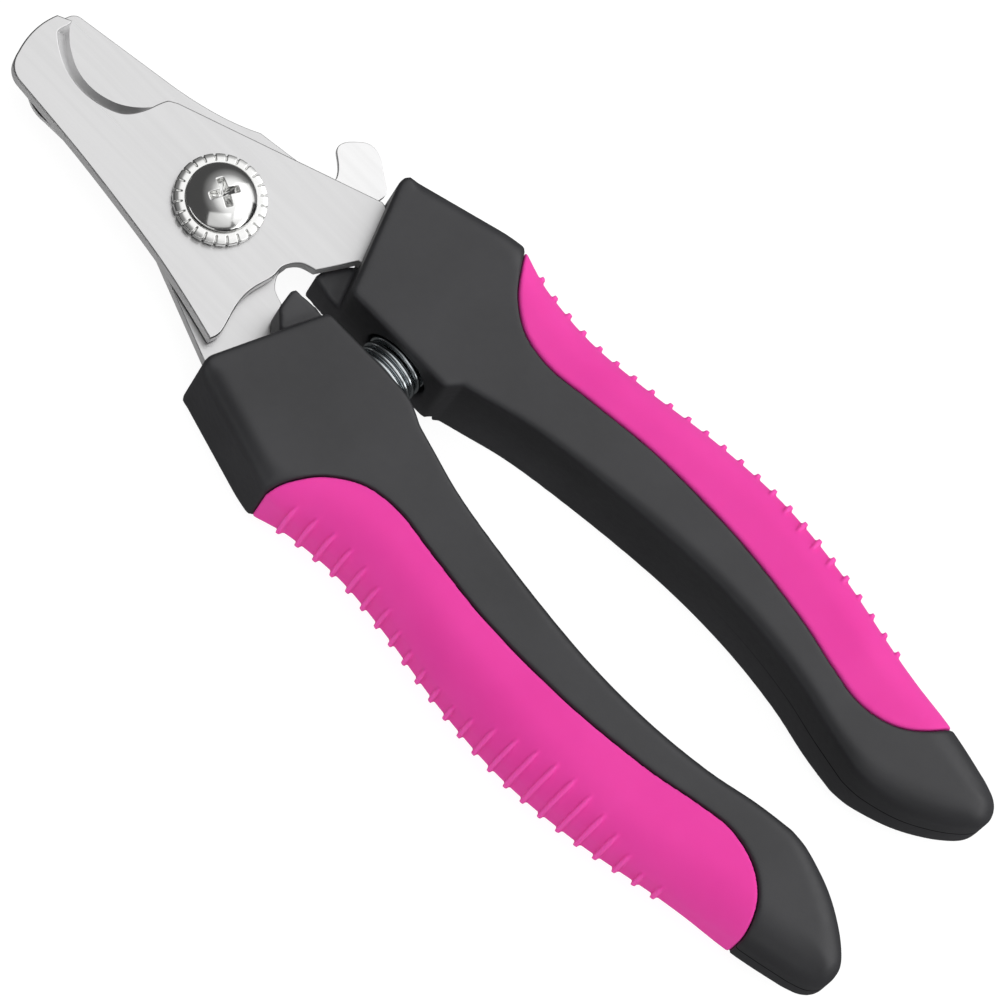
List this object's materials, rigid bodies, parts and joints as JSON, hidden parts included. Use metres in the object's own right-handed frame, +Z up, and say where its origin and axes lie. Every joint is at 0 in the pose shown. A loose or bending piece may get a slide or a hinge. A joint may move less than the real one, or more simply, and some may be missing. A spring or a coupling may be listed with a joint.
{
  "type": "pet nail clipper",
  "caption": "Plier-type pet nail clipper with a hooked cutting blade, a counter blade, a swinging guard, a return spring, a handle lock and soft ribbed grips.",
  "frame": {"origin": "centre of the bottom of the bounding box, with the closed clipper lying on the flat backs of its handles", "axes": "+X towards the blade tips, +Z up along the pivot screw towards its domed head, +Y towards the handle that carries the counter blade"},
  "size_m": [0.1604, 0.054, 0.0155],
  "materials": {
    "black_plastic": "fine satin texture",
    "pink_rubber": "soft matt overmould",
    "blade_steel": "fine brushed stainless steel",
    "bright_chrome": "polished plating",
    "zinc_plate": "bright zinc plating"
  },
  "bodies": {
    "lower_handle": {"lower_handle_core": "black_plastic", "lower_grip": "pink_rubber", "rear_counter_blade": "blade_steel", "return_spring": "zinc_plate", "lock_rivet": "zinc_plate"},
    "upper_handle": {"upper_handle_core": "black_plastic", "upper_grip": "pink_rubber", "front_hook_blade": "blade_steel", "pivot_screw": "bright_chrome", "serrated_ring": "bright_chrome", "spring_washer": "zinc_plate", "pivot_nut": "zinc_plate", "lock_catch_stud": "zinc_plate"},
    "guard": {"guard_plate": "blade_steel"},
    "lock": {"lock_lever": "blade_steel"}
  },
  "joints": [
    {"name": "handle_pivot", "type": "hinge", "parent": "lower_handle", "child": "upper_handle", "pos_m": [0.04724, 0, 0.00775], "axis": [0, 0, 1], "range_deg": [-4.5, 20], "deforming": ["return_spring"]},
    {"name": "guard_swing", "type": "hinge", "parent": "upper_handle", "child": "guard", "pos_m": [0.04724, 0, 0.005], "axis": [0, 0, 1], "range_deg": [0, 50]},
    {"name": "lock_swing", "type": "hinge", "parent": "lower_handle", "child": "lock", "pos_m": [0.02424, 0.0085, 0.00135], "axis": [0, 0, 1], "range_deg": [0, 90]}
  ]
}
